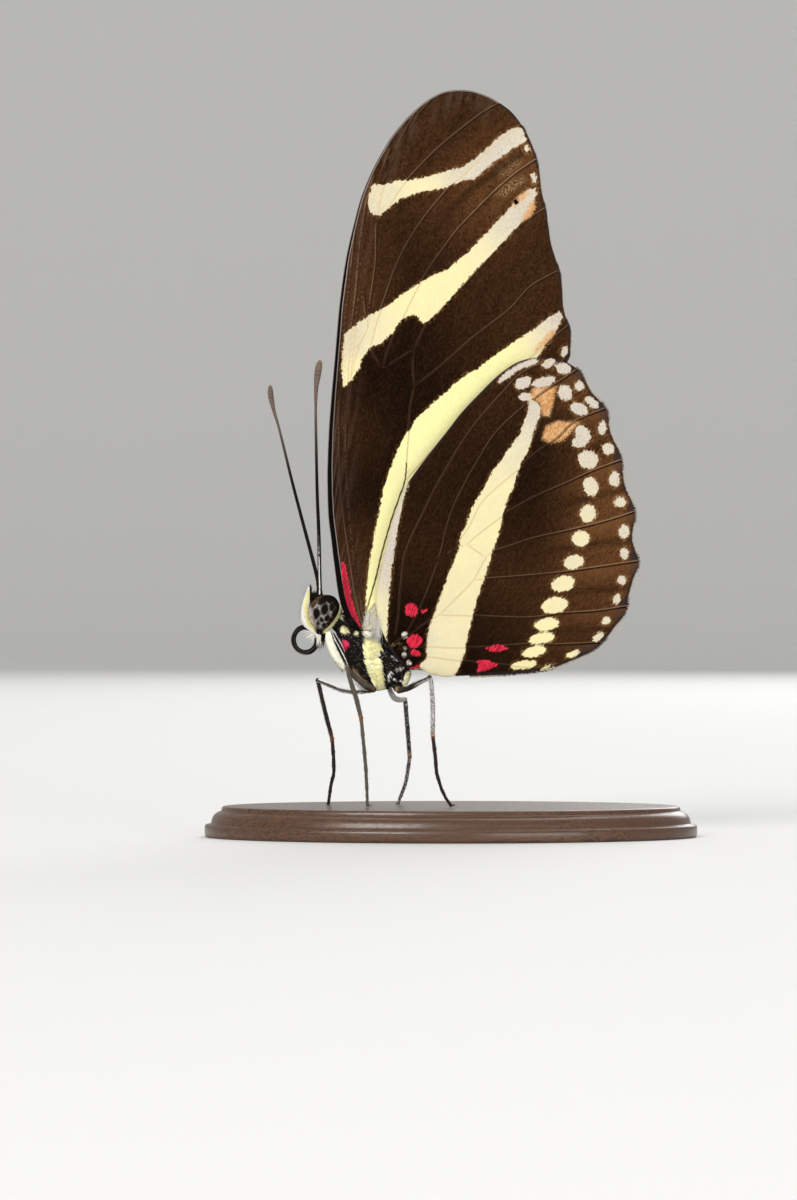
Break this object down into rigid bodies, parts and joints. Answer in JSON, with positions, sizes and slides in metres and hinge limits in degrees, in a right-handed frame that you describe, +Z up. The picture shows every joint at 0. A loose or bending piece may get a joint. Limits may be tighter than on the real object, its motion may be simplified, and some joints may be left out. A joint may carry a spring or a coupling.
{
  "type": "zebra longwing butterfly",
  "caption": "Life-size still butterfly at rest with closed striped wings, feelers raised, standing on its legs on a small plain oval base.",
  "frame": {"origin": "middle of the underside of the oval base, which is the bottom centre of the whole box", "axes": "+Z up along the closed wings, -X towards the head, -Y towards the animal's left side"},
  "size_m": [0.04, 0.026, 0.0605],
  "materials": {
    "wing": "matt scales, dark brown with cream, red and orange marks",
    "body": "short dark hair with cream marks",
    "eye": "glossy, finely faceted",
    "palp": "cream scales and fine hair",
    "horn": "satin, dark brown",
    "leg": "satin black with white stripes",
    "base": "smooth oiled dark wood"
  },
  "bodies": {
    "root": {"forewing_left": "wing", "forewing_right": "wing", "hindwing_left": "wing", "hindwing_right": "wing", "thorax": "body", "abdomen": "body", "head": "body", "eye_left": "eye", "eye_right": "eye", "palp_left": "palp", "palp_right": "palp", "proboscis": "horn", "antenna_left": "horn", "antenna_right": "horn", "foreleg_left": "leg", "foreleg_right": "leg", "midleg_left_femur": "leg", "midleg_left_tibia": "leg", "midleg_left_tarsus": "leg", "midleg_right_femur": "leg", "midleg_right_tibia": "leg", "midleg_right_tarsus": "leg", "hindleg_left_femur": "leg", "hindleg_left_tibia": "leg", "hindleg_left_tarsus": "leg", "hindleg_right_femur": "leg", "hindleg_right_tibia": "leg", "hindleg_right_tarsus": "leg", "stand_base": "base"}
  },
  "joints": []
}
